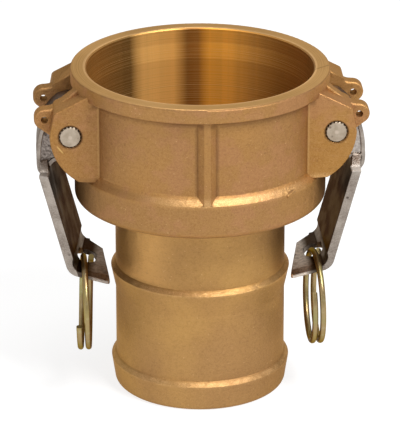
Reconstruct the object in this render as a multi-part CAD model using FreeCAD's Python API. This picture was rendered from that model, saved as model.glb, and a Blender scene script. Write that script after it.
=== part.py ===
"""Female coupler of a cam and groove fitting with a hose shank.

One sand-cast brass body carries a socket with a sealing ring, two pairs of
ears and a barbed shank.  Each pair of ears holds a cam lever on a cross pin,
and each lever carries a split wire ring in the lip at its lower end.
The frame has its origin at the centre of the shank's end and +Z up the axis,
towards the socket's mouth.  The levers lie at +X and -X, closed.
"""
import FreeCAD, Part
import math
import os
from FreeCAD import Placement, Rotation, Vector

# Heights along the axis, in millimetres: first the whole, then depths below the mouth
overall_height = 139.5
rim_height = 6.2
under_rim_drop = 0.8
pin_depth = 20.9
shoulder_top_depth = 38.3
shoulder_bottom_depth = 41.9
socket_depth = 51.0
floor_thickness = 5.3
head_depth = socket_depth + floor_thickness
shoulder_top = overall_height - shoulder_top_depth
shoulder_bottom = overall_height - shoulder_bottom_depth
socket_floor = overall_height - socket_depth
head_bottom = overall_height - head_depth

# Radii of the head, each set from the base ring
base_ring_radius = 52.0
base_ring_step = 2.7
rim_overhang = 3.9
wall_thickness = 3.3
panel_radius = base_ring_radius - base_ring_step
rim_radius = panel_radius + rim_overhang
socket_radius = panel_radius - wall_thickness

# Turned land at the mouth, and the taper that leads into the socket
mouth_step = 0.7
mouth_depth = 6.4
mouth_taper = 7.0

# Hose shank with two barbs: each has a shoulder that faces the head and a long taper
shank_radius = 35.3
shank_wall = 3.8
shank_bore_radius = shank_radius - shank_wall
barb_height = 2.0
barb_radius = shank_radius + barb_height
barb_shoulder_height = 1.9
upper_barb_z = 52.0
upper_barb_taper = 9.5
lower_barb_z = 11.2
tail_step = 0.3

# Casting and machining edges
mouth_chamfer = 0.6
edge_round = 0.8
head_bottom_round = 3.0
shank_fillet = 4.5
under_rim_fillet = 2.0
tail_round = 2.2
tail_bore_chamfer = 0.6

# Ribs down the front and the back of the head
rib_foot_width = 7.7
rib_ridge_width = 2.6
rib_height = 2.6
rib_root_depth = 1.5
rib_radius = panel_radius + rib_height

# Sealing ring and its seat at the bottom of the socket
gasket_thickness = 6.4
gasket_lip = 8.5
gasket_seat_depth = 1.6
gasket_clearance = 0.3
gasket_bore_radius = socket_radius - gasket_lip
gasket_seat_radius = socket_radius + gasket_seat_depth

# Cross pins of the levers
pin_overhang = 4.7
pin_x = panel_radius + pin_overhang
pin_z = overall_height - pin_depth
pin_radius = 4.5
pin_proud = 0.2
pin_chamfer = 0.5
pin_press_clearance = 0.01
pin_running_clearance = 0.06
pin_mouth_chamfer = 0.4
knurl_teeth = 18
knurl_depth = 0.5
knurl_width = 0.75
knurl_length = 5.0

# Ears: two plates at each side with a slot between them for the lever.
# Their corners are given as X and Z from the pin's centre.
ear_outer_y = 25.5
slot_half_width = 9.75
ear_root_depth = 4.0
ear_top_rise = 19.4
ear_corner = (6.4, 10.0)
ear_corner_round = 2.2
ear_side = (8.3, -0.1)
ear_heel = (4.4, -12.3)
ear_toe = (-3.4, -19.7)
ear_edge_round = 0.6

# Eyelets for a locking pin, on the slot side of each ear, also from the pin's centre
eyelet = (10.2, 4.2)
eyelet_radius = 4.25
eyelet_hole_radius = 1.45
eyelet_thickness = 6.5
eyelet_root = (-4.0, 17.6)
eyelet_bend = (7.2, 8.7)
eyelet_bend_radius = 5.0
eyelet_foot = (7.6, -3.0)
eyelet_edge_round = 0.9

# Windows through the socket's wall, where the cams reach in
window_below_pin = 12.6
window_above_pin = 11.4

# Levers: the cam, off the pin's centre, and its running gap to the ears
lever_side_clearance = 0.3
cam_radius = 8.8
cam_offset = 2.4
cam_lean = 20.0
cam_waist_angle = 80.0

# Outline of the lever's hub from crown to neck, as X and Z from the pin's centre
hub_crown_middle = (0.9, 7.7)
hub_crown_end = (4.2, 6.9)
hub_nape = (8.7, 2.4)
hub_back_top = (12.0, -3.4)
hub_back_middle = (13.1, -8.6)
hub_back_end = (13.5, -14.4)
hub_knee = (13.6, -17.4)
hub_heel = (13.2, -20.4)
hub_neck = (7.7, -18.2)
hub_throat = (5.2, -16.1)

# Recess in each cheek of the hub
cheek_border = 1.7
cheek_depth = 0.9

# Wide grip below the hub, with sloping shoulders beside it
grip_width = 37.0
grip_thickness = 3.8
grip_overhang = 10.8
grip_drop = 19.8
grip_round = 0.6
grip_start_x = pin_x + grip_overhang
hub_shoulder_z = pin_z - grip_drop
shoulder_rise = 4.2
shoulder_half_width = 14.0
shoulder_neck_half_width = 9.0
heel_overlap = 7.2
neck_overlap = 3.4
left_grip_twist = 7.0
right_grip_twist = 1.6

# Lip bent in from the grip's foot towards the shank, and the hole for the ring
lip_tip_margin = 0.6
lip_tip_x = shank_radius + lip_tip_margin
lip_reach = 17.5
lip_slope = 13.5
lip_thickness = 2.4
lip_tip_round = 1.5
lip_side_slant = 5.8
lip_side_length = 30.2
lip_shoulder_reach = 13.3
lip_bevel_width = 3.7
lip_bevel_drop = 1.0
bend_outer_radius = 6.0
bend_pocket_radius = 4.2
bend_pocket_depth = 0.9
ring_hole_reach = 11.5
ring_hole_drop = 62.0
ring_hole_width = 8.0
ring_hole_length = 12.6
ring_hole_x = lip_tip_x + ring_hole_reach
ring_hole_z = pin_z - ring_hole_drop
grip_lean = math.degrees(math.atan((grip_start_x - lip_tip_x - lip_reach) / (ring_hole_drop - grip_drop)))

# Split wire rings that hang in the lips
ring_wire_radius = 1.25
ring_coil_radius = 18.8
ring_pitch = 3.3
ring_seat_gap = 1.0
ring_start_angle = 34.0
left_ring_end_angle = 620.0
right_ring_end_angle = 657.0
left_ring_yaw = -1.0
right_ring_yaw = 3.5
left_ring_inset = 0.5
right_ring_inset = 0.0

# Length that a cutting tool runs past the faces that it leaves
overrun = 20.0

# Two points or heights nearer than this are taken as the same
same = 1e-4


def arc(start, middle, end):
    """Arc edge through three points."""
    return Part.Arc(start, middle, end).toShape()


def line(start, end):
    """Straight edge between two points."""
    return Part.LineSegment(start, end).toShape()


def side_point(x, z):
    """Point of a profile in the XZ plane."""
    return Vector(x, 0.0, z)


def corner_arc(before, corner, after, radius):
    """Start, middle and end of the arc that rounds a corner between two lines."""
    back = (before - corner).normalize()
    ahead = (after - corner).normalize()
    half = back.getAngle(ahead) / 2.0
    reach = radius / math.tan(half)
    inward = (back + ahead).normalize()
    centre = corner + inward * (radius / math.sin(half))
    return corner + back * reach, centre - inward * radius, corner + ahead * reach


def rounded_wire(corners):
    """Closed wire through (x, z, radius) corners, each rounded by its radius."""
    points = [side_point(x, z) for x, z, radius in corners]
    count = len(points)
    pieces = []
    for i, (x, z, radius) in enumerate(corners):
        if radius > 0.0:
            pieces.append(corner_arc(points[i - 1], points[i], points[(i + 1) % count], radius))
        else:
            pieces.append((points[i], None, points[i]))
    edges = []
    for i, (start, middle, end) in enumerate(pieces):
        if middle is not None:
            edges.append(arc(start, middle, end))
        following = pieces[(i + 1) % count][0]
        if (following - end).Length > same:
            edges.append(line(end, following))
    return Part.Wire(edges)


def extruded(wire, low_y, high_y):
    """Solid between two planes across Y, from a closed wire in the XZ plane."""
    face = Part.Face(wire)
    face.translate(Vector(0.0, low_y, 0.0))
    return face.extrude(Vector(0.0, high_y - low_y, 0.0))


def turned(wire):
    """Solid of revolution about the Z axis."""
    return Part.Face(wire).revolve(Vector(0, 0, 0), Vector(0, 0, 1), 360)


def from_pin(offset):
    """Point of a side view, given as X and Z from the pin's centre."""
    return side_point(pin_x + offset[0], pin_z + offset[1])


def y_cylinder(radius, x, z, half_length):
    """Cylinder along Y, centred on the XZ plane."""
    start = Vector(x, -half_length, z)
    return Part.makeCylinder(radius, 2.0 * half_length, start, Vector(0, 1, 0))


def mirrored(shape):
    """Copy for the other side of the coupler, at -X."""
    return shape.mirror(Vector(0, 0, 0), Vector(1, 0, 0))


def rim_bottom():
    """Height of the rim's lower edge."""
    return overall_height - rim_height


def outer_form():
    """Outside of the turned and cast body as a full solid of revolution."""
    corners = [
        (0.0, 0.0, 0.0),
        (shank_radius + tail_step, 0.0, tail_round),
        (barb_radius, lower_barb_z, edge_round / 2),
        (shank_radius, lower_barb_z + barb_shoulder_height, 0.0),
        (shank_radius, upper_barb_z - upper_barb_taper, 0.0),
        (barb_radius, upper_barb_z, edge_round / 2),
        (shank_radius, upper_barb_z + barb_shoulder_height, 0.0),
        (shank_radius, head_bottom, shank_fillet),
        (base_ring_radius, head_bottom, head_bottom_round),
        (base_ring_radius, shoulder_bottom, edge_round / 2),
        (panel_radius, shoulder_top, edge_round),
        (panel_radius, rim_bottom() - under_rim_drop, under_rim_fillet),
        (rim_radius, rim_bottom(), edge_round),
        (rim_radius, overall_height, edge_round),
        (0.0, overall_height, 0.0),
    ]
    return turned(rounded_wire(corners))


def inner_form():
    """Everything that is turned out of the body: mouth, socket, seat and bore."""
    seat_top = socket_floor + gasket_thickness + gasket_clearance
    mouth_bottom = overall_height - mouth_depth
    mouth_radius = socket_radius + mouth_step
    corners = [
        (0.0, -overrun, 0.0),
        (shank_bore_radius + tail_bore_chamfer, -overrun, 0.0),
        (shank_bore_radius + tail_bore_chamfer, 0.0, 0.0),
        (shank_bore_radius, tail_bore_chamfer, 0.0),
        (shank_bore_radius, socket_floor, 0.0),
        (gasket_seat_radius, socket_floor, 0.0),
        (gasket_seat_radius, seat_top, 0.0),
        (socket_radius, seat_top, 0.0),
        (socket_radius, mouth_bottom - mouth_taper, 0.0),
        (mouth_radius, mouth_bottom, 0.0),
        (mouth_radius, overall_height - mouth_chamfer, 0.0),
        (mouth_radius + mouth_chamfer, overall_height, 0.0),
        (mouth_radius + mouth_chamfer, overall_height + overrun, 0.0),
        (0.0, overall_height + overrun, 0.0),
    ]
    return turned(rounded_wire(corners))


def ear_root_x():
    """X where the ears end inside the head's wall."""
    return socket_radius - ear_root_depth


def ear_outline():
    """Side view of an ear: sloping top, short side and a full curve to the toe."""
    top_root = side_point(ear_root_x(), pin_z + ear_top_rise)
    side_end = from_pin(ear_side)
    top_end, corner_middle, corner_end = corner_arc(
        top_root, from_pin(ear_corner), side_end, ear_corner_round)
    toe = from_pin(ear_toe)
    foot = side_point(ear_root_x(), shoulder_bottom + edge_round)
    edges = [
        line(top_root, top_end),
        arc(top_end, corner_middle, corner_end),
        line(corner_end, side_end),
        arc(side_end, from_pin(ear_heel), toe),
        line(toe, foot),
        line(foot, top_root),
    ]
    return Part.Wire(edges)


def eyelet_outline():
    """Side view of an eyelet: a round lug on an arm that bends down from the rim."""
    centre = from_pin(eyelet)
    root = from_pin(eyelet_root)
    foot = from_pin(eyelet_foot)
    inside = side_point(root.x, foot.z)
    bend = from_pin(eyelet_bend)
    top_touch = tangent_point(bend, centre, eyelet_radius, 1.0)
    foot_touch = tangent_point(foot, centre, eyelet_radius, -1.0)
    bend_start, bend_middle, bend_end = corner_arc(root, bend, top_touch, eyelet_bend_radius)
    far = centre + Vector(1.0, 0.0, 0.0) * eyelet_radius
    edges = [
        line(root, bend_start),
        arc(bend_start, bend_middle, bend_end),
        line(bend_end, top_touch),
        arc(top_touch, far, foot_touch),
        line(foot_touch, foot),
        line(foot, inside),
        line(inside, root),
    ]
    return Part.Wire(edges)


def tangent_point(start, centre, radius, side):
    """Point where the line from start touches a circle, on its +Z or -Z side."""
    towards = start - centre
    distance = towards.Length
    bearing = math.atan2(towards.z, towards.x)
    spread = math.acos(radius / distance)
    angle = bearing - side * spread
    return centre + Vector(math.cos(angle), 0.0, math.sin(angle)) * radius


def edges_in_plane(shape, y):
    """Edges of a plate that lie in one of its faces across Y."""
    return [edge for edge in shape.Edges
            if abs(edge.BoundBox.YMin - y) < same and abs(edge.BoundBox.YMax - y) < same]


def ear_pair():
    """The two ears at +X with their eyelets, before any hole is drilled."""
    plates = []
    for side in (-1.0, 1.0):
        inner = side * slot_half_width
        plate = extruded(ear_outline(), inner, side * ear_outer_y)
        outer_edges = [edge for edge in edges_in_plane(plate, side * ear_outer_y)
                       if edge.BoundBox.XMax > ear_root_x() + same]
        plate = plate.makeFillet(ear_edge_round, outer_edges)
        outer = inner + side * eyelet_thickness
        lug = extruded(eyelet_outline(), inner, outer)
        lug = lug.makeFillet(eyelet_edge_round, edges_in_plane(lug, outer) + edges_in_plane(lug, inner))
        plates.append(plate.fuse(lug))
    return plates[0].fuse(plates[1])


def ribs():
    """Ribs down the front and the back, with sloping flanks."""
    foot = rib_foot_width / 2
    ridge = rib_ridge_width / 2
    root = panel_radius - rib_root_depth
    flare = foot + (panel_radius - root) * (foot - ridge) / (rib_radius - panel_radius)
    low = shoulder_bottom - edge_round
    high = rim_bottom() + edge_round
    outline = Part.makePolygon([
        Vector(-flare, -root, low),
        Vector(-ridge, -rib_radius, low),
        Vector(ridge, -rib_radius, low),
        Vector(flare, -root, low),
        Vector(-flare, -root, low),
    ])
    front = Part.Face(outline).extrude(Vector(0, 0, high - low))
    back = front.mirror(Vector(0, 0, 0), Vector(0, 1, 0))
    return front.fuse(back)


def pin_hole():
    """Drilling through both ears at +X, with a chamfer at each mouth."""
    radius = pin_radius + pin_press_clearance
    hole = y_cylinder(radius, pin_x, pin_z, ear_outer_y + overrun)
    for side in (-1.0, 1.0):
        mouth = Part.makeCone(
            radius, radius + pin_mouth_chamfer, pin_mouth_chamfer,
            Vector(pin_x, side * (ear_outer_y - pin_mouth_chamfer), pin_z), Vector(0, side, 0))
        hole = hole.fuse(mouth)
    return hole


def window():
    """Cut through the wall between the ears at +X."""
    return Part.makeBox(
        panel_radius, 2.0 * slot_half_width, window_below_pin + window_above_pin,
        Vector(shank_bore_radius, -slot_half_width, pin_z - window_below_pin))


def body():
    """Brass casting with everything machined in it."""
    ears = ear_pair()
    solid = outer_form().fuse(ears).fuse(mirrored(ears)).fuse(ribs())
    solid = solid.cut(inner_form())
    centre = from_pin(eyelet)
    eyelet_hole = y_cylinder(eyelet_hole_radius, centre.x, centre.z, ear_outer_y)
    for cut in (window(), pin_hole(), eyelet_hole):
        solid = solid.cut(cut).cut(mirrored(cut))
    return solid.removeSplitter()


def gasket():
    """Sealing ring that lies in the seat at the bottom of the socket."""
    outer = gasket_seat_radius - gasket_clearance
    corners = [
        (gasket_bore_radius, socket_floor, edge_round / 2),
        (outer, socket_floor, edge_round),
        (outer, socket_floor + gasket_thickness, edge_round),
        (gasket_bore_radius, socket_floor + gasket_thickness, edge_round),
    ]
    return turned(rounded_wire(corners))


def knurl(half_length):
    """Grooves round both ends of the cross pin at +X, which grip the ears."""
    half_width = knurl_width / 2
    groove = Part.Face(Part.makePolygon([
        Vector(pin_radius - knurl_depth, 0, 0),
        Vector(pin_radius + knurl_depth, 0, -2.0 * half_width),
        Vector(pin_radius + knurl_depth, 0, 2.0 * half_width),
        Vector(pin_radius - knurl_depth, 0, 0),
    ]))
    grooves = []
    for i in range(knurl_teeth):
        turned_groove = groove.copy()
        turned_groove.rotate(Vector(0, 0, 0), Vector(0, 1, 0), 360.0 * i / knurl_teeth)
        for side in (-1.0, 1.0):
            end = turned_groove.copy()
            end.translate(Vector(pin_x, side * half_length, pin_z))
            grooves.append(end.extrude(Vector(0, -side * knurl_length, 0)))
    return Part.makeCompound(grooves)


def pivot_pin():
    """Cross pin at +X, flush with the ears apart from a small proud end."""
    half = ear_outer_y + pin_proud
    pin = y_cylinder(pin_radius, pin_x, pin_z, half)
    ends = [edge for edge in pin.Edges if edge.BoundBox.YLength < same]
    return pin.makeChamfer(pin_chamfer, ends).cut(knurl(half))


def cam_centre():
    """Centre of the cam's round face, behind and below the pin."""
    lean = math.radians(cam_lean)
    return side_point(pin_x - cam_offset * math.cos(lean), pin_z - cam_offset * math.sin(lean))


def grip_face_x(z, depth):
    """X of the grip's flat face at a height, at a depth in from its outer face."""
    lean = math.radians(grip_lean)
    return grip_start_x - (hub_shoulder_z - z) * math.tan(lean) - depth / math.cos(lean)


def hub_outline():
    """Side view of the hub: crown, back, heel behind the grip, neck and cam."""
    centre = cam_centre()
    waist_angle = math.radians(cam_waist_angle)
    waist = centre + side_point(math.cos(waist_angle), -math.sin(waist_angle)) * cam_radius
    cam_top = centre + side_point(0.0, cam_radius)
    heel_z = hub_shoulder_z - heel_overlap
    heel_foot = side_point(grip_face_x(heel_z, 0.0), heel_z)
    neck_z = hub_shoulder_z - neck_overlap
    neck_foot = side_point(grip_face_x(neck_z, grip_thickness / 2.0), neck_z)
    return Part.Wire([
        arc(cam_top, from_pin(hub_crown_middle), from_pin(hub_crown_end)),
        arc(from_pin(hub_crown_end), from_pin(hub_nape), from_pin(hub_back_top)),
        arc(from_pin(hub_back_top), from_pin(hub_back_middle), from_pin(hub_back_end)),
        arc(from_pin(hub_back_end), from_pin(hub_knee), from_pin(hub_heel)),
        line(from_pin(hub_heel), heel_foot),
        line(heel_foot, neck_foot),
        arc(neck_foot, from_pin(hub_neck), from_pin(hub_throat)),
        line(from_pin(hub_throat), waist),
        line(waist, centre),
        line(centre, cam_top),
    ])


def lever_hub():
    """Cam and neck of the lever at +X, between the ears, with recessed cheeks."""
    half = slot_half_width - lever_side_clearance
    centre = cam_centre()
    cam = y_cylinder(cam_radius, centre.x, centre.z, half)
    hub = extruded(hub_outline(), -half, half).fuse(cam)
    floor = hub_outline().makeOffset2D(-cheek_border, 0, False, False, False)
    for side in (-1.0, 1.0):
        recess = extruded(floor, side * (half - cheek_depth), side * (half + overrun))
        hub = hub.cut(recess.cut(y_cylinder(cam_radius, centre.x, centre.z, half + overrun)))
    return hub


def lip_place():
    """Frame of the lip: X along its slope, Z square to its top, origin at the ring's hole."""
    return Placement(Vector(ring_hole_x, 0, ring_hole_z), Rotation(Vector(0, 1, 0), -lip_slope))


def prism(points, direction):
    """Solid from a closed row of points, drawn out along a direction."""
    return Part.Face(Part.makePolygon(points + points[:1])).extrude(direction)


def grip_plate():
    """Plate and lip in one bend, as wide as the grip."""
    lean = math.radians(grip_lean)
    slope = math.radians(lip_slope)
    lip_drop = lip_thickness / math.cos(slope)
    top_z = hub_shoulder_z + shoulder_rise

    def lip_top(x):
        return ring_hole_z - (ring_hole_x - x) * math.tan(slope)

    def bend(depth, drop):
        # Corner where a face of the plate meets a face of the lip
        plate_x = grip_face_x(0.0, depth)
        z = (ring_hole_z - (ring_hole_x - plate_x) * math.tan(slope) - drop)
        z = z / (1.0 - math.tan(slope) * math.tan(lean))
        return grip_face_x(z, depth), z

    corners = [
        (grip_face_x(top_z, 0.0), top_z, grip_round),
        (*bend(0.0, lip_drop), bend_outer_radius),
        (lip_tip_x, lip_top(lip_tip_x) - lip_drop, grip_round),
        (lip_tip_x, lip_top(lip_tip_x), grip_round),
        (*bend(grip_thickness, 0.0), 0.0),
        (grip_face_x(top_z, grip_thickness), top_z, grip_round),
    ]
    half = grip_width / 2
    return extruded(rounded_wire(corners), -half, half)


def grip_shoulder_cuts():
    """What is cut away above the grip's sloping shoulders, beside the hub."""
    half = grip_width / 2 + overrun
    rise = shoulder_rise + same
    cuts = []
    for side in (-1.0, 1.0):
        points = [Vector(0, side * y, z) for y, z in (
            (shoulder_neck_half_width, hub_shoulder_z + rise),
            (shoulder_half_width, hub_shoulder_z),
            (half, hub_shoulder_z),
            (half, hub_shoulder_z + rise))]
        cuts.append(prism(points, Vector(grip_start_x + overrun, 0, 0)))
    return cuts


def lip_cuts():
    """What is cut away beside the lip's slanting tip, along its bevel and in the bend."""
    half = grip_width / 2
    tip_z = Vector(0, 0, ring_hole_z)
    slant = Vector(lip_tip_x + lip_side_slant, lip_side_length - half, 0)
    beyond = lip_tip_x - overrun
    side_cut = prism([
        Vector(beyond, -half - overrun, 0),
        Vector(lip_tip_x, -half - overrun, 0),
        Vector(lip_tip_x, -half, 0),
        slant,
        Vector(lip_tip_x + lip_shoulder_reach, half, 0),
        Vector(lip_tip_x + lip_shoulder_reach, half + overrun, 0),
        Vector(beyond, half + overrun, 0),
    ], tip_z)

    steep = lip_bevel_drop / lip_bevel_width
    bevel = prism([
        Vector(-overrun, lip_bevel_width - half, 0),
        Vector(-overrun, -half - lip_bevel_width, -2.0 * lip_bevel_width * steep),
        Vector(-overrun, -half - lip_bevel_width, overrun),
        Vector(-overrun, lip_bevel_width - half, overrun),
    ], Vector(overrun, 0, 0))
    bevel.Placement = lip_place()

    lean = math.radians(grip_lean)
    slope = math.radians(lip_slope)
    lip_normal = Vector(-math.sin(slope), 0, math.cos(slope))
    plate_normal = Vector(-math.cos(lean), 0, math.sin(lean))
    plate_point = Vector(grip_face_x(ring_hole_z, grip_thickness), 0, ring_hole_z)
    above_lip = bend_pocket_radius + Vector(ring_hole_x, 0, ring_hole_z).dot(lip_normal)
    off_plate = bend_pocket_radius - bend_pocket_depth + plate_point.dot(plate_normal)
    spread = math.cos(slope + lean)
    centre_x = (above_lip * math.sin(lean) - off_plate * math.cos(slope)) / spread
    centre_z = (above_lip * math.cos(lean) - off_plate * math.sin(slope)) / spread
    pocket = y_cylinder(bend_pocket_radius, centre_x, centre_z, half + overrun)
    return [side_cut, bevel, pocket]


def grip():
    """Wide plate below the hub with its lip bent in towards the shank."""
    plate = grip_plate()
    for cut in grip_shoulder_cuts() + lip_cuts():
        plate = plate.cut(cut)
    corner = [edge for edge in plate.Edges
              if edge.BoundBox.XMax < lip_tip_x + grip_round
              and edge.BoundBox.YMax < same - grip_width / 2
              and edge.BoundBox.XLength < same]
    return plate.makeFillet(lip_tip_round, corner)


def ring_hole():
    """Slotted hole through the lip, square to it."""
    half_run = (ring_hole_length - ring_hole_width) / 2
    reach = bend_outer_radius + lip_thickness
    slot = Part.makeBox(ring_hole_width, 2.0 * half_run, 2.0 * reach,
                        Vector(-ring_hole_width / 2, -half_run, -reach))
    for side in (-1.0, 1.0):
        slot = slot.fuse(Part.makeCylinder(ring_hole_width / 2, 2.0 * reach,
                                           Vector(0, side * half_run, -reach)))
    slot.Placement = lip_place()
    return slot


def grip_middle():
    """Point of the upright axis about which a grip is twisted."""
    middle_z = (hub_shoulder_z + ring_hole_z) / 2
    return Vector(grip_face_x(middle_z, grip_thickness / 2), 0, 0)


def lever(twist):
    """Cam lever at +X as one casting, its grip twisted by some degrees."""
    plate = grip().cut(ring_hole())
    plate.rotate(grip_middle(), Vector(0, 0, 1), twist)
    solid = lever_hub().fuse(plate)
    bore = y_cylinder(pin_radius + pin_running_clearance, pin_x, pin_z, ear_outer_y)
    return solid.cut(bore).removeSplitter()


def pull_ring(side, end_angle, yaw, inset, twist):
    """Split ring of round wire, coiled about an axis along X, hung in a lip.

    The angles run from the top of the ring towards +Y.  The ring goes through
    the hole and round the lip's front edge, and rests on the web between them.
    """
    turns = (end_angle - ring_start_angle) / 360.0
    helix = Part.makeHelix(ring_pitch, ring_pitch * turns, ring_coil_radius)
    section = Part.Wire(Part.makeCircle(
        ring_wire_radius, Vector(ring_coil_radius, 0, 0), Vector(0, 1, 0)))
    coil = Part.Wire(helix).makePipeShell([section], True, True)
    coil.rotate(Vector(0, 0, 0), Vector(0, 1, 0), -90)
    coil.rotate(Vector(0, 0, 0), Vector(1, 0, 0), -ring_start_angle)

    web_back = -ring_hole_length / 2
    web_front = -grip_width / 2
    half_web = (web_back - web_front) / 2
    inner_radius = ring_coil_radius - ring_wire_radius
    drop = math.sqrt(inner_radius ** 2 - half_web ** 2)
    lip_middle_x = ring_hole_x + lip_thickness / 2 * math.sin(math.radians(lip_slope))
    turn = Rotation(Vector(0, 0, 1), twist)
    hole = grip_middle() + turn.multVec(Vector(lip_middle_x, 0, 0) - grip_middle())
    coil.translate(Vector(ring_pitch / 2, (web_back + web_front) / 2, 0))
    coil.rotate(Vector(0, 0, 0), Vector(0, 0, 1), yaw)
    coil.translate(Vector(side * (hole.x - inset), hole.y, ring_hole_z + ring_seat_gap - drop))
    return coil


def main():
    os.makedirs("parts", exist_ok=True)
    right_pin = pivot_pin()
    shapes = {
        "body": body(),
        "gasket": gasket(),
        "pivot_pin_right": right_pin,
        "pivot_pin_left": mirrored(right_pin),
        "cam_arm_right": lever(right_grip_twist),
        "cam_arm_left": mirrored(lever(left_grip_twist)),
        "pull_ring_right": pull_ring(
            1.0, right_ring_end_angle, right_ring_yaw, right_ring_inset, right_grip_twist),
        "pull_ring_left": pull_ring(
            -1.0, left_ring_end_angle, left_ring_yaw, left_ring_inset, left_grip_twist),
    }
    for name, shape in shapes.items():
        shape.exportStep("parts/" + name + ".step")
        print(name, len(shape.Solids), "solid, valid", shape.isValid(), "volume %.0f" % shape.Volume)


main()
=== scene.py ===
"""Finishes, softened levers, a small mark, light and camera for the brass hose coupler."""
import math
import bpy
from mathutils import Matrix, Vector


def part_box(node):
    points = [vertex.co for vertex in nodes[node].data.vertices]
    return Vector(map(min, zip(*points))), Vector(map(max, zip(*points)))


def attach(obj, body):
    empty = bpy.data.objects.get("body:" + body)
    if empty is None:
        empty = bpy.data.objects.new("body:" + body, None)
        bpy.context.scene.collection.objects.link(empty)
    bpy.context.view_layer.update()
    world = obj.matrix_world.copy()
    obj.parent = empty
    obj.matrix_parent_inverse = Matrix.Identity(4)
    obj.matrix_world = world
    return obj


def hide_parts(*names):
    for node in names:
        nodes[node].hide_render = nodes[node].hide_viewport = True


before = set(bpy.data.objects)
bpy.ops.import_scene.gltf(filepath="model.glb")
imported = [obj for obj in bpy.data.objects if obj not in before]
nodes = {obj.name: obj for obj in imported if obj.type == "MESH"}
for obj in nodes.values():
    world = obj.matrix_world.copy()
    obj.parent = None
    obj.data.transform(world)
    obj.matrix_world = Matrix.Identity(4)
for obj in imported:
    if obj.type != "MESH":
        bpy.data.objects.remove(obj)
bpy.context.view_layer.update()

# Sizes of the coupler that the finishes and the levers' rounding follow, in metres and radians
overall_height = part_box("body")[1].z
seat_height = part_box("gasket")[0].z
bore_radius = 0.0480
panel_radius = 0.0493
rib_half_width = 0.00385
rim_radius = 0.0532
rim_height = 0.0062
shoulder_height = 0.0976
head_bottom = 0.0832
shank_radius = 0.0353
pin_x = 0.0540
pin_z = 0.1186
pin_radius = 0.0045
knurl_teeth = 18
ear_face = 0.0255
ear_root = 0.0426
ear_bottom = 0.0940
upper_barb = 0.0528
lower_barb = 0.0120
grip_middle = Vector((0.05713, 0.0, 0.0777))
grip_lean = math.radians(15.12)
grip_thickness = 0.0038
lip_height = 0.0580
hub_foot = 0.0985
grip_shoulder = 0.0988
cheek_floor = 0.00855
hub_edge = 0.0125
lip_bend = 0.0085
lever_rounding = 0.00035
twists = {"left": math.radians(7.0), "right": math.radians(1.6)}
sides = {"left": -1.0, "right": 1.0}

# Tones that change from one patch of a surface to the next
brass_tones = {"head": ((0.425, 0.215, 0.065), (0.355, 0.178, 0.060)),
               "shank": ((0.500, 0.282, 0.088), (0.420, 0.232, 0.080)),
               "ears": ((0.390, 0.187, 0.040), (0.335, 0.155, 0.035)),
               "rim top": ((0.60, 0.350, 0.140), (0.48, 0.275, 0.105))}
# Painted light and shade: the left lever's lip and cheek darker, the right's lighter
lip_light_and_shade_tones = {"left": ((0.30, 0.245, 0.205), (0.52, 0.440, 0.370)),
             "right": ((0.52, 0.445, 0.380), (0.86, 0.760, 0.660))}
cheek_light_and_shade_tones = {"left": ((0.075, 0.058, 0.048), (0.300, 0.255, 0.225)),
               "right": ((0.330, 0.285, 0.250), (0.500, 0.450, 0.405))}

# Painted reflections in the turned socket: upright bands of light and shade round the axis, from
# the left at 0 to the right at 1
socket_reflection_bands = (
    (0.00, (0.28, 0.120, 0.020)), (0.13, (0.20, 0.090, 0.018)), (0.205, (0.13, 0.060, 0.012)),
    (0.26, (0.98, 0.530, 0.150)), (0.40, (1.00, 0.500, 0.120)), (0.47, (0.24, 0.085, 0.010)),
    (0.52, (0.32, 0.108, 0.011)), (0.57, (0.96, 0.400, 0.040)), (0.66, (1.00, 0.430, 0.055)),
    (0.76, (0.66, 0.290, 0.050)), (0.88, (0.38, 0.165, 0.028)), (1.00, (0.24, 0.100, 0.018)))

# Marks on the brass: the nick on the base ring's edge, the scratch under the left pin,
# the joint line on the rim's top and the way from the axis to the left rear ear in painted shade
nick_start = Vector((0.03300, -0.04016, 0.0966))
nick_end = Vector((0.03652, -0.03698, 0.0976))
scratch_start = Vector((-0.05955, -ear_face, 0.11506))
scratch_end = Vector((-0.05677, -ear_face, 0.11154))
front = Vector((0.0, -1.0, 0.0))
joint_place = Vector((0.0483, -0.0066, 0.0))
across_joint = Vector((-0.62, 0.785, 0.0))
back_left_way = Vector((-0.847, 0.531, 0.0))

# Camera of the product photograph and the point that the lamps face, in metres and degrees
picture_width = 400
picture_height = 431
focal_in_pixels = 3400.0
sensor_size = 36.0
camera_place = Vector((-0.0755, -1.3091, 0.6073))
camera_azimuth = -3.3
camera_pitch = 22.17
coupler_middle = Vector((0.0, 0.0, 0.10))


# Node helpers

def add_node(tree, kind, **values):
    """Adds a node and sets its inputs by name and its settings by attribute."""
    node = tree.nodes.new(kind)
    for key, value in values.items():
        if key in node.inputs:
            node.inputs[key].default_value = value
        else:
            setattr(node, key, value)
    return node


def feed(tree, socket, value):
    """Sets an input to a number, a vector or a colour, or links a socket to it."""
    if isinstance(value, (int, float, Vector)):
        socket.default_value = value
    elif isinstance(value, tuple):
        socket.default_value = (*value, 1.0)
    else:
        tree.links.new(value, socket)


def reckon(tree, operation, *values):
    """Math node whose inputs are numbers or sockets; gives its output socket."""
    node = add_node(tree, "ShaderNodeMath", operation=operation)
    for socket, value in zip(node.inputs, values):
        feed(tree, socket, value)
    return node.outputs[0]


def times(tree, *values):
    """Product of several sockets or numbers."""
    total = values[0]
    for value in values[1:]:
        total = reckon(tree, "MULTIPLY", total, value)
    return total


def largest(tree, *values):
    """Largest of several sockets."""
    total = values[0]
    for value in values[1:]:
        total = reckon(tree, "MAXIMUM", total, value)
    return total


def rest_of(tree, value):
    """What a mask leaves out: one less the mask."""
    return reckon(tree, "SUBTRACT", 1.0, value)


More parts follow.
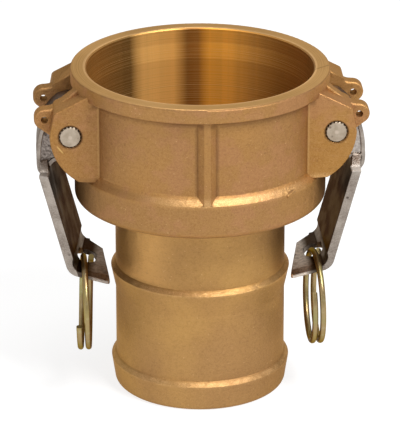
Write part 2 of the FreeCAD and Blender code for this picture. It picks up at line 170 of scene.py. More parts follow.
def ramp(tree, value, low, high, to_low=0.0, to_high=1.0):
    """Smooth step of a value between two limits; gives its output socket."""
    node = add_node(tree, "ShaderNodeMapRange", interpolation_type="SMOOTHSTEP")
    limits = {"Value": value, "From Min": low, "From Max": high,
              "To Min": to_low, "To Max": to_high}
    for name, limit in limits.items():
        feed(tree, node.inputs[name], limit)
    return node.outputs["Result"]


def band(tree, value, middle, half_width):
    """One at a height or radius, falling softly to zero at both sides of it."""
    away = reckon(tree, "ABSOLUTE", reckon(tree, "SUBTRACT", value, middle))
    return ramp(tree, away, 0.0, half_width, 1.0, 0.0)


def mix_colour(tree, factor, a, b):
    """Colour mix whose inputs are colours or sockets; gives its output socket."""
    node = add_node(tree, "ShaderNodeMix", data_type="RGBA")
    for index, value in ((0, factor), (6, a), (7, b)):
        feed(tree, node.inputs[index], value)
    return node.outputs[2]


def lay(tree, tone, *coats):
    """Lays coats over a tone, each one a mask and its colour; gives the last output socket."""
    for mask, colour in coats:
        tone = mix_colour(tree, mask, tone, colour)
    return tone


def colour_stops(tree, value, stops):
    """Colour ramp through (position, colour) stops; gives its output socket."""
    node = tree.nodes.new("ShaderNodeValToRGB")
    elements = node.color_ramp.elements
    while len(elements) < len(stops):
        elements.new(0.5)
    for element, (position, colour) in zip(elements, stops):
        element.position = position
        element.color = (*colour, 1.0)
    tree.links.new(value, node.inputs[0])
    return node.outputs["Color"]


def noise(tree, vector, scale, detail=2.0, roughness=0.5):
    """Noise texture on a vector, its scale a number or a socket; gives its value socket."""
    node = add_node(tree, "ShaderNodeTexNoise", Detail=detail, Roughness=roughness)
    feed(tree, node.inputs["Vector"], vector)
    feed(tree, node.inputs["Scale"], scale)
    return node.outputs[0]


def vector_of(tree, operation, *vectors):
    """Vector math node whose inputs are vectors or sockets; gives the node."""
    node = add_node(tree, "ShaderNodeVectorMath", operation=operation)
    for socket, vector in zip(node.inputs, vectors):
        feed(tree, socket, vector)
    return node


def split_up(tree, vector):
    """Sockets of a vector's three parts."""
    node = tree.nodes.new("ShaderNodeSeparateXYZ")
    feed(tree, node.inputs[0], vector)
    return node.outputs


def put_together(tree, *parts):
    """Vector made of one, two or three parts; gives its output socket."""
    node = tree.nodes.new("ShaderNodeCombineXYZ")
    for socket, part in zip(node.inputs, parts):
        feed(tree, socket, part)
    return node.outputs[0]


def along(tree, vector, origin, direction):
    """Distance of a place from an origin, measured along a direction."""
    moved = vector_of(tree, "SUBTRACT", vector, origin).outputs[0]
    return vector_of(tree, "DOT_PRODUCT", moved, direction).outputs["Value"]


def short_line(tree, vector, start, end, outward, half_width):
    """Mask of a short straight mark on a surface whose outward direction is given."""
    middle = (start + end) / 2
    run = (end - start).normalized()
    across = run.cross(outward).normalized()
    length = band(tree, along(tree, vector, middle, run), 0.0, (end - start).length * 0.62)
    width = band(tree, along(tree, vector, middle, across), 0.0, half_width)
    depth = band(tree, along(tree, vector, middle, outward), 0.0, 0.0012)
    return ramp(tree, times(tree, length, width, depth), 0.05, 0.35)


def group_tree(name, inputs, outputs):
    """New shader node group with its named sockets; gives tree, input node and output node."""
    tree = bpy.data.node_groups.new(name, "ShaderNodeTree")
    for label, kind in inputs:
        tree.interface.new_socket(name=label, in_out="INPUT", socket_type=kind)
    for label, kind in outputs:
        tree.interface.new_socket(name=label, in_out="OUTPUT", socket_type=kind)
    return tree, tree.nodes.new("NodeGroupInput"), tree.nodes.new("NodeGroupOutput")


def use_group(tree, group, **values):
    """Places a node group in a material; values are numbers or sockets."""
    node = tree.nodes.new("ShaderNodeGroup")
    node.node_tree = group
    for key, value in values.items():
        feed(tree, node.inputs[key.replace("_", " ")], value)
    return node


FLOAT = "NodeSocketFloat"
VECTOR = "NodeSocketVector"


def make_cast_skin():
    """Sand-cast skin: fine grain, shallow dimples, pits and broad patches of tone."""
    tree, inner, outer = group_tree(
        "cast skin",
        [("Place", VECTOR), ("Grain Scale", FLOAT), ("Patch Scale", FLOAT)],
        [("Height", FLOAT), ("Patch", FLOAT), ("Mottle", FLOAT), ("Speckle", FLOAT),
         ("Pits", FLOAT)])
    place, grain_scale = inner.outputs["Place"], inner.outputs["Grain Scale"]
    grain = noise(tree, place, grain_scale, detail=3.0, roughness=0.6)
    dimple = noise(tree, place, times(tree, grain_scale, 0.13))
    mottle = noise(tree, place, times(tree, grain_scale, 0.40), detail=4.0, roughness=0.72)
    patch = noise(tree, place, inner.outputs["Patch Scale"], detail=4.0, roughness=0.6)
    pit = add_node(tree, "ShaderNodeTexVoronoi", Randomness=1.0)
    feed(tree, pit.inputs["Vector"], place)
    feed(tree, pit.inputs["Scale"], times(tree, grain_scale, 0.16))
    pits = times(tree, ramp(tree, pit.outputs["Distance"], 0.12, 0.26, 1.0, 0.0),
                 ramp(tree, dimple, 0.56, 0.66))
    height = reckon(tree, "ADD", grain, times(tree, dimple, 2.2))
    height = reckon(tree, "SUBTRACT", height, times(tree, pits, 0.8))
    values = {"Height": height, "Patch": ramp(tree, patch, 0.34, 0.66),
              "Mottle": ramp(tree, mottle, 0.36, 0.64), "Speckle": ramp(tree, grain, 0.38, 0.66),
              "Pits": pits}
    for label, value in values.items():
        feed(tree, outer.inputs[label], value)
    return tree


def make_axis_place():
    """Place seen from the coupler's axis: height, radius, way round and distance to each side."""
    tree, inner, outer = group_tree(
        "axis place", [("Place", VECTOR)],
        [("Height", FLOAT), ("Radius", FLOAT), ("Round", VECTOR), ("Side X", FLOAT),
         ("Side Y", FLOAT)])
    x, y, z = split_up(tree, inner.outputs["Place"])
    flat = put_together(tree, x, y)
    values = {"Height": z, "Radius": vector_of(tree, "LENGTH", flat).outputs["Value"],
              "Round": vector_of(tree, "NORMALIZE", flat).outputs[0],
              "Side X": reckon(tree, "ABSOLUTE", x), "Side Y": reckon(tree, "ABSOLUTE", y)}
    for label, value in values.items():
        feed(tree, outer.inputs[label], value)
    return tree


def make_tool_lines():
    """Fine uneven lines left by a turning tool, along a distance."""
    tree, inner, outer = group_tree(
        "tool lines", [("Distance", FLOAT), ("Lines Per Metre", FLOAT)], [("Height", FLOAT)])
    step = times(tree, inner.outputs["Distance"], inner.outputs["Lines Per Metre"])
    fine = noise(tree, put_together(tree, step), 1.0, detail=3.0, roughness=0.7)
    feed(tree, outer.inputs["Height"], fine)
    return tree


def make_pin_distance():
    """Distance from the nearer cross pin's axis and angle round it, on either side."""
    tree, inner, outer = group_tree(
        "pin distance", [("Place", VECTOR)], [("Distance", FLOAT), ("Angle", FLOAT)])
    x, _, z = split_up(tree, inner.outputs["Place"])
    across = reckon(tree, "SUBTRACT", reckon(tree, "ABSOLUTE", x), pin_x)
    up = reckon(tree, "SUBTRACT", z, pin_z)
    distance = vector_of(tree, "LENGTH", put_together(tree, across, up)).outputs["Value"]
    feed(tree, outer.inputs["Distance"], distance)
    feed(tree, outer.inputs["Angle"], reckon(tree, "ARCTAN2", up, across))
    return tree


cast_skin = make_cast_skin()
axis_place = make_axis_place()
tool_lines = make_tool_lines()
pin_distance = make_pin_distance()


def new_material(name):
    """Empty principled material; gives material, tree, shader and object place socket."""
    material = bpy.data.materials.new(name)
    material.use_nodes = True
    tree = material.node_tree
    shader = tree.nodes["Principled BSDF"]
    place = tree.nodes.new("ShaderNodeTexCoord").outputs["Object"]
    return material, tree, shader, place


def bump(tree, shader, height, strength, distance):
    """Feeds a height to the shader's normal."""
    node = add_node(tree, "ShaderNodeBump", Strength=strength, Distance=distance)
    tree.links.new(height, node.inputs["Height"])
    tree.links.new(node.outputs[0], shader.inputs["Normal"])


def brass_spot(tree, place):
    """Sockets that say where a spot of the brass lies, by name."""
    axis = use_group(tree, axis_place, Place=place)
    centre = Vector((0.0, 0.0, 0.0))
    return {
        "place": place,
        "height": axis.outputs["Height"],
        "radius": axis.outputs["Radius"],
        "round": axis.outputs["Round"],
        "side x": axis.outputs["Side X"],
        "side y": axis.outputs["Side Y"],
        "to right": along(tree, place, centre, Vector((1.0, 0.0, 0.0))),
        "back left": along(tree, place, centre, back_left_way),
        "pin": use_group(tree, pin_distance, Place=place).outputs["Distance"]}


def cast_tone(tree, spot, skin):
    """Tone of the cast skin: pinker head, yellower shank and ears, painted light on the upper
    shank's left, painted shade on the lower shank's right and on the left rear ear, patches, grain.
    """
    height, to_right = spot["height"], spot["to right"]
    patch, mottle = skin.outputs["Patch"], skin.outputs["Mottle"]
    head_tone, shank_tone, ear_tone = (
        mix_colour(tree, patch, *brass_tones[part]) for part in ("head", "shank", "ears"))
    shank = ramp(tree, height, head_bottom + 0.002, head_bottom - 0.004)
    ears = times(tree, ramp(tree, spot["side x"], ear_root - 0.0021, ear_root - 0.0001),
                 ramp(tree, spot["side y"], ear_face - 0.0020, ear_face - 0.0005),
                 ramp(tree, height, ear_bottom, ear_bottom + 0.004), 0.9)
    # Painted shade on the left rear ear
    rear_ear_shade = ramp(tree, spot["back left"], 0.0540, 0.0570, 0.0, 0.62)
    ring_side = times(tree, ramp(tree, height, head_bottom + 0.001, head_bottom + 0.003),
                      ramp(tree, height, shoulder_height, shoulder_height - 0.002),
                      ramp(tree, spot["radius"], panel_radius + 0.001, panel_radius + 0.002), 0.45)
    # Painted light on the upper shank's left side and painted shade on the lower shank's right side
    upper_left_shank_light = times(tree, ramp(tree, height, upper_barb + 0.0002, upper_barb + 0.0032),
                        shank, ramp(tree, to_right, -0.010, -0.026), 0.85)
    lower_right_shank_shade = times(tree, ramp(tree, height, upper_barb - 0.0008, upper_barb - 0.0028),
                        ramp(tree, to_right, 0.008, 0.026), 0.55)
    broad = times(tree, ramp(tree, noise(tree, spot["place"], 16.0, detail=3.0), 0.38, 0.66), 0.45)
    blush = noise(tree, spot["place"], 60.0, detail=5.0, roughness=0.65)
    blush = times(tree, ramp(tree, blush, 0.47, 0.60), rest_of(tree, shank), 0.40)
    flecks = noise(tree, spot["place"], 1100.0, detail=1.0)
    return lay(
        tree, head_tone, (shank, shank_tone), (ears, ear_tone),
        (rear_ear_shade, (0.150, 0.072, 0.026)), (ring_side, (0.300, 0.160, 0.066)),
        (upper_left_shank_light, (0.800, 0.450, 0.150)), (lower_right_shank_shade, (0.280, 0.150, 0.052)),
        (broad, (0.37, 0.200, 0.090)), (blush, (0.480, 0.225, 0.118)),
        (times(tree, mottle, 0.20), (0.58, 0.335, 0.130)),
        (ramp(tree, mottle, 0.40, 0.0, 0.0, 0.14), (0.22, 0.105, 0.040)),
        (times(tree, skin.outputs["Speckle"], 0.22), (0.62, 0.37, 0.16)),
        (ramp(tree, flecks, 0.71, 0.80, 0.0, 0.45), (0.80, 0.54, 0.27)))


def round_scratches(tree, spot):
    """Fine scratches that run round the casting, as a noise drawn out along its girth."""
    girth = vector_of(tree, "MULTIPLY", spot["round"], Vector((0.05, 0.05, 0.05))).outputs[0]
    lifted = put_together(tree, 0.0, 0.0, times(tree, spot["height"], 9.0))
    drawn_out = vector_of(tree, "ADD", girth, lifted).outputs[0]
    return noise(tree, drawn_out, 260.0, detail=4.0, roughness=0.75)


def creases(tree, spot, skin):
    """Masks of the painted shade in the creases and of the painted highlight where each ear begins.
    """
    height, radius = spot["height"], spot["radius"]
    side_x, side_y = spot["side x"], spot["side y"]
    rim_bottom = overall_height - rim_height
    under_rim = times(tree, band(tree, height, rim_bottom - 0.0016, 0.0022),
                      ramp(tree, radius, panel_radius + 0.0034, panel_radius + 0.0018), 0.75)
    shank_root = times(tree, band(tree, height, head_bottom - 0.0005, 0.0030),
                       ramp(tree, radius, shank_radius + 0.0065, shank_radius + 0.0015))
    pin_edge = times(tree, band(tree, spot["pin"], pin_radius + 0.0003, 0.0007),
                     ramp(tree, side_y, ear_face - 0.0005, ear_face - 0.0001))
    on_head = times(tree, ramp(tree, height, shoulder_height, shoulder_height + 0.003),
                    ramp(tree, height, rim_bottom + 0.001, rim_bottom))
    rib_foot = times(tree, band(tree, side_x, rib_half_width + 0.0002, 0.0013), on_head,
                     ramp(tree, side_y, panel_radius - 0.002, panel_radius - 0.001),
                     ramp(tree, radius, panel_radius + 0.0012, panel_radius + 0.0002), 0.60)
    ear_foot = times(tree, band(tree, side_y, ear_face + 0.0002, 0.0012), on_head,
                     ramp(tree, radius, panel_radius + 0.0008, panel_radius + 0.0002), 0.30)
    # Painted highlight along the line where each ear begins
    ear_edge_highlight = times(tree, band(tree, side_x, ear_root, 0.0007), on_head,
                     ramp(tree, side_y, ear_face - 0.0004, ear_face - 0.0001), 0.55)
    # Painted shade in the creases: under the rim, at the shank's root, beside the ribs and ears and
    # round the pins
    crease_shade = largest(tree, under_rim, shank_root, rib_foot, ear_foot, pin_edge)
    crease_shade = times(tree, crease_shade, ramp(tree, skin.outputs["Patch"], 0.0, 1.0, 0.60, 0.85))
    return crease_shade, ear_edge_highlight


def edge_wear_light_and_shade(tree, spot, skin):
    """Masks of the rim's edge for painted shade, the base ring's edge for painted shade on its left
    side, and the rubbed edges and crests, real wear with a painted highlight, the base ring's edge
    on its right side among them.
    """
    height, radius = spot["height"], spot["radius"]
    ragged = noise(tree, spot["place"], 420.0, detail=3.0, roughness=0.65)
    ragged = ramp(tree, ragged, 0.36, 0.60, 0.25, 1.0)
    # Painted shade on the rim's outer edge, dimming its highlight
    rim_edge_shade = times(tree, band(tree, height, overall_height - 0.0003, 0.0008),
                     ramp(tree, radius, rim_radius - 0.0012, rim_radius - 0.0005))
    base_edge = times(tree, band(tree, height, shoulder_height + 0.0014, 0.0030),
                      ramp(tree, radius, panel_radius + 0.0004, panel_radius + 0.0012))
    # Painted shade on the base ring's edge on the left side
    shaded_side = ramp(tree, spot["to right"], -0.008, -0.034)
    on_barb = ramp(tree, radius, shank_radius + 0.0002, shank_radius + 0.0008)
    upper_crest, lower_crest = (
        times(tree, on_barb, band(tree, height, barb, 0.0020)) for barb in (upper_barb, lower_barb))
    ring_foot = times(tree, band(tree, height, head_bottom + 0.0004, 0.0012),
                      ramp(tree, radius, panel_radius + 0.0016, panel_radius + 0.0024))
    crests = times(tree, largest(tree, upper_crest, lower_crest, ring_foot), ragged)
    # Real wear and a painted highlight on the crests and on the base ring's edge on the right
    wear_and_highlight = largest(tree, times(tree, base_edge, rest_of(tree, shaded_side)), crests)
    wear_and_highlight = times(tree, wear_and_highlight, ramp(tree, skin.outputs["Speckle"], 0.1, 0.8, 0.45, 1.0))
    return rim_edge_shade, ragged, times(tree, base_edge, shaded_side), wear_and_highlight


def small_marks(tree, place):
    """Masks of the shadow along the nick and of the scratch under the left pin."""
    nick_side = Vector((nick_start.x + nick_end.x, nick_start.y + nick_end.y, 0.0)).normalized()
    lift = Vector((0.0, 0.0, 0.0011))
    nick = short_line(tree, place, nick_start + lift, nick_end + lift, nick_side, 0.0005)
    scratch = short_line(tree, place, scratch_start, scratch_end, front, 0.0004)
    return nick, scratch


def socket_tone_and_reflections(tree, spot, lines):
    """Tone of the turned socket: painted reflections as upright bands and finer upright streaks
    round the axis, under fine tool lines.
    """
    swing = reckon(tree, "ADD", times(tree, split_up(tree, spot["round"])[0], 0.5), 0.5)
    # Painted reflections: upright bands round the axis and finer upright streaks
    fine_reflection_streaks = noise(tree, spot["round"], 9.0, detail=3.0, roughness=0.6)
    return lay(
        tree, colour_stops(tree, swing, socket_reflection_bands),
        (ramp(tree, fine_reflection_streaks, 0.40, 0.62, 0.0, 0.16), (0.34, 0.165, 0.045)),
        (ramp(tree, lines, 0.46, 0.70, 0.0, 0.48), (1.0, 0.66, 0.28)),
        (ramp(tree, lines, 0.48, 0.30, 0.0, 0.38), (0.26, 0.115, 0.020)))


def rim_top_tone(tree, spot, skin, lines, top):
    """Even tone of the rim's top with its tool lines and the dark joint line on the right."""
    from_joint = along(tree, spot["place"], joint_place, across_joint)
    joint_line = times(tree, top, ramp(tree, spot["side x"], 0.0455, 0.0460),
                       band(tree, from_joint, 0.0, 0.0005), 0.7)
    return lay(
        tree, mix_colour(tree, skin.outputs["Patch"], *brass_tones["rim top"]),
        (ramp(tree, lines, 0.40, 0.68, 0.0, 0.55), (0.82, 0.52, 0.22)),
        (joint_line, (0.22, 0.115, 0.040)))


def brass_material():
    """Blasted cast brass outside, turned brass in the socket, the mouth and on the rim."""
    material, tree, shader, place = new_material("cast_brass")
    skin = use_group(tree, cast_skin, Place=place, Grain_Scale=2600.0, Patch_Scale=30.0)
    spot = brass_spot(tree, place)
    height, radius = spot["height"], spot["radius"]

    # Where the tool has cut: the socket, its mouth and the rim's top
    bore = times(tree, reckon(tree, "LESS_THAN", radius, bore_radius),
                 reckon(tree, "GREATER_THAN", height, seat_height - 0.0005))
    top = reckon(tree, "GREATER_THAN", height, overall_height - 0.0002)
    turned = largest(tree, bore, top)
    keep = rest_of(tree, turned)

    # Cast skin, its scratches, painted shade in the creases, a painted highlight where each ear
    # begins, rubbed edges with painted highlights, painted shade on the rim's and base ring's
    # edges, and marks, laid over each other
    scratches = round_scratches(tree, spot)
    crease_shade, ear_edge_highlight = creases(tree, spot, skin)
    rim_edge_shade, ragged, shaded_base_edge, wear_and_highlight = edge_wear_light_and_shade(tree, spot, skin)
    nick, scratch = small_marks(tree, place)
    tone = lay(
        tree, cast_tone(tree, spot, skin),
        (ramp(tree, scratches, 0.58, 0.74, 0.0, 0.40), (0.62, 0.37, 0.17)),
        (ramp(tree, scratches, 0.42, 0.28, 0.0, 0.45), (0.24, 0.125, 0.055)),
        (ear_edge_highlight, (0.64, 0.38, 0.150)), (crease_shade, (0.16, 0.078, 0.032)),
        (times(tree, shaded_base_edge, 0.40), (0.250, 0.130, 0.054)),
        (times(tree, wear_and_highlight, 0.60), (0.76, 0.47, 0.215)),
        (times(tree, rim_edge_shade, ragged, 0.55), (0.270, 0.150, 0.068)),
        (times(tree, skin.outputs["Pits"], 0.22), (0.20, 0.095, 0.040)),
        (times(tree, nick, 0.6), (0.20, 0.095, 0.036)),
        (times(tree, scratch, 0.55), (0.80, 0.55, 0.20)))

    # Turned surfaces
    bore_lines = use_group(tree, tool_lines, Distance=height, Lines_Per_Metre=2400.0).outputs[0]
    top_lines = use_group(tree, tool_lines, Distance=radius, Lines_Per_Metre=2000.0).outputs[0]
    turned_tone = mix_colour(tree, top, socket_tone_and_reflections(tree, spot, bore_lines),
                             rim_top_tone(tree, spot, skin, top_lines, top))
    tree.links.new(mix_colour(tree, turned, tone, turned_tone), shader.inputs["Base Color"])

    metal = reckon(tree, "SUBTRACT", 0.78, times(tree, bore, 0.38))
    tree.links.new(metal, shader.inputs["Metallic"])
    shader.inputs["Specular Tint"].default_value = (0.62, 0.46, 0.30, 1.0)
    shader.inputs["Specular IOR Level"].default_value = 0.20
    rough_cast = ramp(tree, skin.outputs["Patch"], 0.0, 1.0, 0.44, 0.52)
    rough_cast = reckon(tree, "SUBTRACT", rough_cast, times(tree, wear_and_highlight, 0.12))
    rough_cast = reckon(tree, "ADD", rough_cast, times(tree, rim_edge_shade, 0.10))
    rough = reckon(tree, "ADD", times(tree, rough_cast, keep), times(tree, turned, 0.36))
    tree.links.new(rough, shader.inputs["Roughness"])

    cut = reckon(tree, "ADD", times(tree, bore_lines, bore, 0.6), times(tree, top_lines, top, 0.5))
    cast = reckon(tree, "ADD", skin.outputs["Height"], times(tree, scratches, 0.9))
    bump(tree, shader, reckon(tree, "ADD", cut, times(tree, cast, keep)), 0.6, 0.00022)
    return material


def pin_material():
    """Turned steel pins with a pale face, painted shade in a narrow ring round its edge broken by
    the knurl's teeth, and faint turning rings.
    """
    material, tree, shader, place = new_material("pin_steel")
    skin = use_group(tree, cast_skin, Place=place, Grain_Scale=2200.0, Patch_Scale=260.0)
    from_axis = use_group(tree, pin_distance, Place=place)
    pin = from_axis.outputs["Distance"]
    pip = times(tree, ramp(tree, pin, 0.0011, 0.0004), 0.45)
    # Painted shade in the narrow ring round the face's edge, broken by the knurl's teeth
    groove_shade = ramp(tree, pin, pin_radius - 0.00065, pin_radius - 0.00035)
    teeth = reckon(tree, "SINE", times(tree, from_axis.outputs["Angle"], knurl_teeth))
    gaps = ramp(tree, teeth, -0.2, 0.5, 0.35, 0.95)
    face = mix_colour(tree, skin.outputs["Patch"], (0.36, 0.29, 0.215), (0.50, 0.42, 0.33))
    tone = lay(tree, face, (pip, (0.66, 0.55, 0.45)),
               (times(tree, skin.outputs["Pits"], 0.7), (0.16, 0.12, 0.09)),
               (times(tree, groove_shade, gaps), (0.05, 0.030, 0.018)))
    tree.links.new(tone, shader.inputs["Base Color"])
    shader.inputs["Metallic"].default_value = 1.0
    rough = ramp(tree, skin.outputs["Patch"], 0.0, 1.0, 0.40, 0.52)
    tree.links.new(rough, shader.inputs["Roughness"])
    rings = use_group(tree, tool_lines, Distance=pin, Lines_Per_Metre=2400.0)
    height = reckon(tree, "ADD", times(tree, skin.outputs["Height"], 0.5),
                    times(tree, rings.outputs[0], 0.6))
    bump(tree, shader, height, 0.35, 0.00012)
    return material


def lever_material(side):
    """Tumbled stainless casting: pale rims and edges, inner faces painted as a reflection of the
    brass body, dark rough cheeks, painted shade where the lip turns up and a painted highlight on
    the ledge where the grip meets the hub.
    """
    sign, twist = sides[side], twists[side]
    outward = Vector((sign * math.cos(grip_lean) * math.cos(twist),
                      math.cos(grip_lean) * math.sin(twist), -math.sin(grip_lean)))
    middle = Vector((sign * grip_middle.x, grip_middle.y, grip_middle.z))
    material, tree, shader, place = new_material("lever_steel_" + side)
    skin = use_group(tree, cast_skin, Place=place, Grain_Scale=1900.0, Patch_Scale=120.0)
    axis = use_group(tree, axis_place, Place=place)
    height, side_y = axis.outputs["Height"], axis.outputs["Side Y"]
    patch, mottle = skin.outputs["Patch"], skin.outputs["Mottle"]
    depth = along(tree, place, middle, outward)

    # Tones of the parts of a lever
    pale = mix_colour(tree, patch, (0.36, 0.31, 0.265), (0.22, 0.18, 0.150))
    pale = mix_colour(tree, times(tree, skin.outputs["Speckle"], 0.35), pale, (0.50, 0.45, 0.40))
    # Painted reflection of the brass body on the inner faces
    inner_face_reflection = mix_colour(tree, patch, (0.135, 0.100, 0.072), (0.080, 0.056, 0.038))
    inner_face_reflection = mix_colour(tree, times(tree, mottle, 0.20), inner_face_reflection, (0.22, 0.165, 0.115))
    # Painted light and shade: lip and cheek lighter on the right lever than on the left
    lip_tone = mix_colour(tree, mottle, *lip_light_and_shade_tones[side])
    rough_spots = noise(tree, place, 900.0, detail=3.0, roughness=0.7)
    rough_tone = mix_colour(tree, ramp(tree, rough_spots, 0.35, 0.65), *cheek_light_and_shade_tones[side])

    # Where they lie
    inner_face = -0.50 * grip_thickness
    inside = ramp(tree, depth, inner_face + 0.0002, inner_face + 0.00002)
    below_hub = ramp(tree, height, hub_foot + 0.004, hub_foot - 0.001)
    on_hub = ramp(tree, height, hub_foot - 0.001, hub_foot + 0.001)
    on_lip = times(tree, ramp(tree, height, lip_height + 0.003, lip_height), inside)
    # Painted shade where the lip turns up from the grip
    bend_shade = times(tree, on_lip, ramp(tree, depth, -lip_bend, 0.0035 - lip_bend))
    cheek = times(tree, on_hub, band(tree, side_y, cheek_floor, 0.0005))
    # Painted highlight on the ledge where the grip meets the hub
    shoulder_highlight = times(tree, band(tree, height, grip_shoulder, 0.0009),
                     ramp(tree, side_y, hub_edge, hub_edge + 0.0010))
    tone = lay(tree, pale, (times(tree, inside, below_hub, 0.95), inner_face_reflection),
               (times(tree, on_lip, 0.95), lip_tone),
               (times(tree, bend_shade, 0.9), (0.045, 0.030, 0.022)), (cheek, rough_tone),
               (shoulder_highlight, (0.62, 0.56, 0.50)),
               (times(tree, skin.outputs["Pits"], 0.8), (0.07, 0.05, 0.04)))
    tree.links.new(tone, shader.inputs["Base Color"])

    metal = rest_of(tree, times(tree, shoulder_highlight, 0.8))
    tree.links.new(metal, shader.inputs["Metallic"])
    shader.inputs["Specular Tint"].default_value = (0.30, 0.26, 0.22, 1.0)
    tree.links.new(ramp(tree, patch, 0.0, 1.0, 0.32, 0.44), shader.inputs["Roughness"])
    bump(tree, shader, skin.outputs["Height"], 0.35, 0.00012)
    return material


def plated_wire_material():
    """Dull yellow zinc plating with faint rainbow patches and rubbed places."""
    material, tree, shader, place = new_material("plated_wire")
    patches = noise(tree, place, 70.0, detail=2.0)
    warm = mix_colour(tree, ramp(tree, patches, 0.35, 0.60),
                      (0.335, 0.265, 0.108), (0.350, 0.250, 0.125))
    rubbed = ramp(tree, noise(tree, place, 420.0, detail=3.0, roughness=0.6), 0.52, 0.66)
    tone = lay(tree, warm, (ramp(tree, patches, 0.54, 0.75), (0.300, 0.280, 0.115)),
               (times(tree, rubbed, 0.25), (0.48, 0.43, 0.28)))
    tree.links.new(tone, shader.inputs["Base Color"])
    shader.inputs["Metallic"].default_value = 1.0
    shader.inputs["Specular Tint"].default_value = (0.45, 0.33, 0.20, 1.0)
    rough = ramp(tree, noise(tree, place, 900.0), 0.3, 0.7, 0.30, 0.40)
    tree.links.new(rough, shader.inputs["Roughness"])
    drawn_out = vector_of(tree, "MULTIPLY", place, Vector((1.0, 0.3, 0.3))).outputs[0]
    bump(tree, shader, noise(tree, drawn_out, 3000.0), 0.15, 0.00006)
    return material


def rubber_material():
    """Matt black rubber of the sealing ring."""
    material, tree, shader, place = new_material("seal_rubber")
    skin = use_group(tree, cast_skin, Place=place, Grain_Scale=1800.0, Patch_Scale=60.0)
    tone = mix_colour(tree, skin.outputs["Patch"], (0.022, 0.021, 0.020), (0.035, 0.032, 0.029))
    tree.links.new(tone, shader.inputs["Base Color"])
    rough = ramp(tree, skin.outputs["Speckle"], 0.0, 1.0, 0.55, 0.7)
    tree.links.new(rough, shader.inputs["Roughness"])
    bump(tree, shader, skin.outputs["Height"], 0.3, 0.00015)
    return material


finishes = {
    "body": brass_material(),
    "gasket": rubber_material(),
    "pivot_pin": pin_material(),
    "cam_arm_left": lever_material("left"),
    "cam_arm_right": lever_material("right"),
    "pull_ring": plated_wire_material(),
}

for name, node in nodes.items():
    for kind, material in finishes.items():
        if name.startswith(kind):
            node.data.materials.clear()
            node.data.materials.append(material)


# Levers with soft cast edges; the angles tell flat, smooth and sharp edges apart

flat_angle = math.radians(0.01)
smooth_angle = math.radians(8.0)
sharp_angle = math.radians(50.0)


def add_soft_lever(side):
    """Merged copy of a lever's mesh, its sharp edges rounded by a narrow bevel inside it."""
    name = "cam_arm_" + side
    lever = bpy.data.objects.new("soft_" + name, nodes[name].data.copy())
    bpy.context.scene.collection.objects.link(lever)
    bpy.ops.object.select_all(action="DESELECT")
    lever.select_set(True)
    bpy.context.view_layer.objects.active = lever
    bpy.ops.object.mode_set(mode="EDIT")
    bpy.ops.mesh.select_mode(type="EDGE")
    bpy.ops.mesh.select_all(action="SELECT")
    bpy.ops.mesh.remove_doubles(threshold=0.00001)
    bpy.ops.mesh.dissolve_limited(angle_limit=flat_angle)
    bpy.ops.mesh.select_all(action="SELECT")
    bpy.ops.mesh.vert_connect_concave()
    bpy.ops.mesh.select_all(action="DESELECT")
    bpy.ops.mesh.edges_select_sharp(sharpness=sharp_angle)
    bpy.ops.mesh.bevel(offset=lever_rounding, segments=2, affect="EDGES",
                       clamp_overlap=False, loop_slide=False)
    bpy.ops.object.mode_set(mode="OBJECT")
    inside = lever.modifiers.new("inside", "SHRINKWRAP")
    inside.target = nodes[name]
    inside.wrap_mode = "INSIDE"
    bpy.ops.object.modifier_apply(modifier="inside")
    bpy.ops.object.shade_smooth_by_angle(angle=smooth_angle)
    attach(lever, "lever_" + side)
    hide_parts(name)


for side in sides:
    add_soft_lever(side)


# Sliver of brass thrown up beside the nick on the base ring

def add_nick_burr():
    """Flattened sliver along the nick, half sunk in the base ring's edge."""
    run = nick_end - nick_start
    bpy.ops.object.select_all(action="DESELECT")
    bpy.ops.mesh.primitive_cone_add(vertices=12, radius1=0.00062, radius2=0.00016,
                                    depth=run.length)
    burr = bpy.context.object
    burr.name = "nick_burr"
    bpy.ops.object.mode_set(mode="EDIT")
    bpy.ops.mesh.select_all(action="SELECT")
    bpy.ops.transform.resize(value=(0.6, 1.0, 1.0))
    bpy.ops.mesh.bevel(offset=0.00006, segments=2, affect="EDGES")
    bpy.ops.object.mode_set(mode="OBJECT")
    burr.rotation_euler = run.to_track_quat("Z", "Y").to_euler()
    burr.location = (nick_start + nick_end) / 2
    bpy.ops.object.transform_apply(location=True, rotation=True, scale=True)
    bpy.ops.object.shade_smooth_by_angle(angle=math.radians(40.0))
    burr.data.materials.append(finishes["body"])
    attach(burr, "coupler")


add_nick_burr()


# Stage, light and camera

def pale_floor_material():
    """Pale floor that shows white to the camera and keeps the soft shadow."""
    material, tree, shader = new_material("pale_floor")[:3]
    shader.inputs["Base Color"].default_value = (0.30, 0.30, 0.30, 1.0)
    shader.inputs["Roughness"].default_value = 0.9
    rays = tree.nodes.new("ShaderNodeLightPath")
    seen = reckon(tree, "MAXIMUM", rays.outputs["Is Camera Ray"], rays.outputs["Is Glossy Ray"])
    seen = reckon(tree, "MAXIMUM", seen, rays.outputs["Is Transmission Ray"])
    glow = tree.nodes.new("ShaderNodeEmission")
    glow.inputs["Color"].default_value = (1.0, 1.0, 1.0, 1.0)
    tree.links.new(times(tree, seen, 0.80), glow.inputs["Strength"])
    total = tree.nodes.new("ShaderNodeAddShader")
    tree.links.new(shader.outputs[0], total.inputs[0])
    tree.links.new(glow.outputs[0], total.inputs[1])
    tree.links.new(total.outputs[0], tree.nodes["Material Output"].inputs["Surface"])
    return material


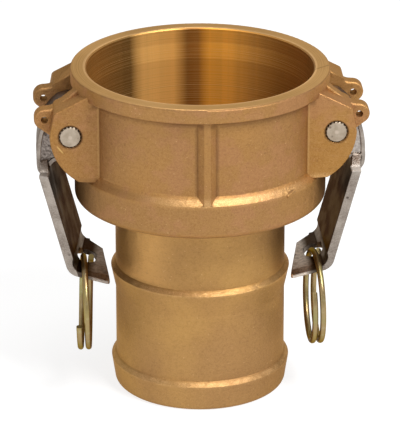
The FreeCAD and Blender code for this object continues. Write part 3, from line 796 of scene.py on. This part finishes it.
def add_floor():
    """Round floor disc under the coupler, far larger than the view."""
    bpy.ops.object.select_all(action="DESELECT")
    bpy.ops.mesh.primitive_circle_add(vertices=96, radius=12.0, fill_type="NGON")
    floor = bpy.context.object
    floor.name = "floor"
    floor.data.materials.append(pale_floor_material())


def add_lamp(name, place, width, height, power):
    """White soft box aimed at the coupler's middle."""
    data = bpy.data.lights.new(name, "AREA")
    data.shape = "RECTANGLE"
    data.size = width
    data.size_y = height
    data.energy = power
    lamp = bpy.data.objects.new(name, data)
    lamp.location = place
    aim = coupler_middle - Vector(place)
    lamp.rotation_euler = aim.to_track_quat("-Z", "Y").to_euler()
    bpy.context.scene.collection.objects.link(lamp)


def add_world(light_level, mirror_level, background_level):
    """Even world light behind a white background."""
    world = bpy.data.worlds.new("room")
    bpy.context.scene.world = world
    world.use_nodes = True
    tree = world.node_tree
    background = tree.nodes["Background"]
    background.inputs["Color"].default_value = (1.0, 1.0, 1.0, 1.0)
    rays = tree.nodes.new("ShaderNodeLightPath")
    seen = times(tree, rays.outputs["Is Camera Ray"], background_level - light_level)
    mirrored = times(tree, rays.outputs["Is Glossy Ray"], mirror_level - light_level)
    extra = reckon(tree, "ADD", seen, mirrored)
    tree.links.new(reckon(tree, "ADD", extra, light_level), background.inputs["Strength"])


def add_camera():
    """Camera at the photograph's angle and distance."""
    data = bpy.data.cameras.new("camera")
    data.sensor_fit = "AUTO"
    data.sensor_width = sensor_size
    data.lens = focal_in_pixels * sensor_size / max(picture_width, picture_height)
    data.clip_end = 100.0
    camera = bpy.data.objects.new("camera", data)
    camera.location = camera_place
    camera.rotation_euler = (math.radians(90.0 - camera_pitch), 0.0, math.radians(camera_azimuth))
    bpy.context.scene.collection.objects.link(camera)
    bpy.context.scene.camera = camera


add_floor()
add_lamp("key", (0.48, -0.60, 1.06), width=0.42, height=0.38, power=13.0)
add_lamp("over", (0.05, -0.10, 1.30), width=0.60, height=0.50, power=5.0)
add_lamp("fill", (-0.9, -0.9, 0.6), width=0.8, height=0.8, power=1.5)
add_world(light_level=0.28, mirror_level=0.62, background_level=1.0)
add_camera()
bpy.context.scene.view_settings.view_transform = "Standard"
